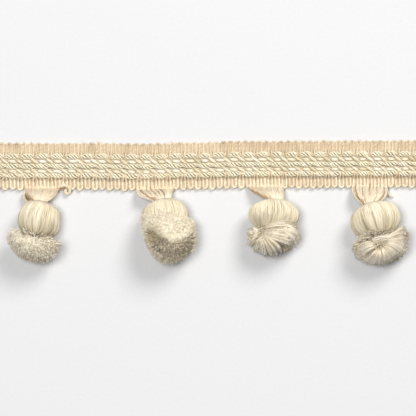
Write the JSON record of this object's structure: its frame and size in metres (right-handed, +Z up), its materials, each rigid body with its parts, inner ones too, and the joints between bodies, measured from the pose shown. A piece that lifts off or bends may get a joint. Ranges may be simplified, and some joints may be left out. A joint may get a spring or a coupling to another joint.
{
  "type": "pompom fringe trim",
  "caption": "Cut length of woven furnishing trim with looped edges and raised cords, and a fringe of round, waisted pompoms hung from gathered loops; it lies on its back.",
  "frame": {"origin": "middle of the tape's flat back, on the surface that the trim lies on", "axes": "+X along the tape, +Y from the pompoms to the tape's free edge, +Z up from the surface, out of the face"},
  "size_m": [0.1622, 0.0447, 0.0182],
  "materials": {
    "tape": "matt ribbed weave",
    "cord": "soft twisted yarn",
    "float": "silky yarn",
    "loops": "soft yarn",
    "pompom": "silky cut yarn"
  },
  "bodies": {
    "root": {"heading": "tape", "cord_upper": "cord", "cord_middle": "cord", "cord_lower": "cord", "float_upper": "float", "float_lower": "float", "hanger_1": "loops", "hanger_2": "loops", "hanger_3": "loops", "hanger_4": "loops", "pompom_1": "pompom", "pompom_2": "pompom", "pompom_3": "pompom", "pompom_4": "pompom", "loose_loop": "loops", "pulled_picot": "loops"}
  },
  "joints": []
}
